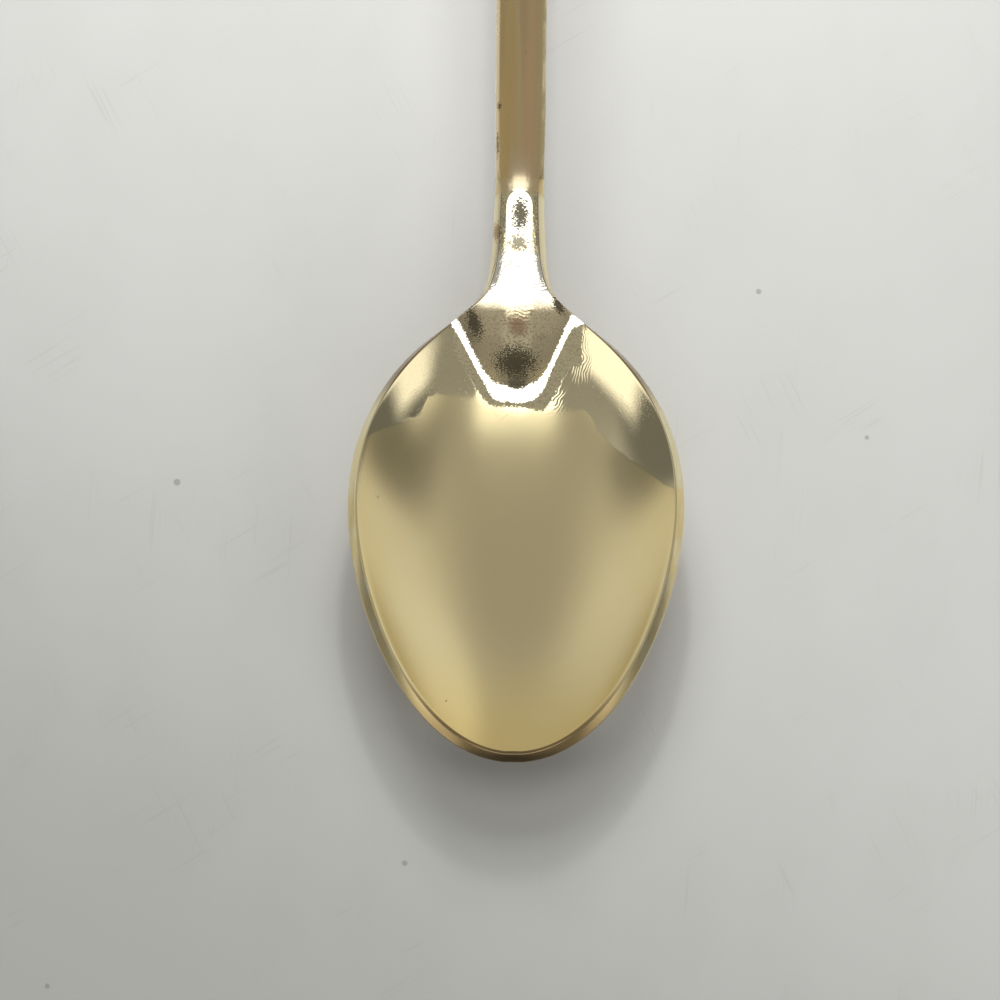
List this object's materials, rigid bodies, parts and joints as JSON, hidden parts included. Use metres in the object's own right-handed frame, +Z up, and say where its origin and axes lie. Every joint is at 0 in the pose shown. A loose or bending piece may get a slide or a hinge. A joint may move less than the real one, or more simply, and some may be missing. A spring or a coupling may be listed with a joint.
{
  "type": "teaspoon",
  "caption": "Gold-coloured teaspoon with an egg-shaped bowl, a tongue running from the narrow neck into the hollow, a slim arched stem and a rounded handle end.",
  "frame": {"origin": "middle of the bounding box's base, on the table the spoon lies on, about under the start of the stem", "axes": "+X to the spoon's right seen from above with the tip near the viewer, +Y along the spoon from the bowl's tip to the handle's end, +Z up, out of the hollow"},
  "size_m": [0.031, 0.1398, 0.0165],
  "materials": {
    "satin_gold": "soft-polished pale gold plate with faint orange peel and hairline wear",
    "mirror_gold": "mirror-polished pale gold plate with slight orange peel"
  },
  "bodies": {
    "root": {"bowl": "satin_gold", "neck": "mirror_gold", "stem": "satin_gold", "handle_end": "satin_gold"}
  },
  "joints": []
}
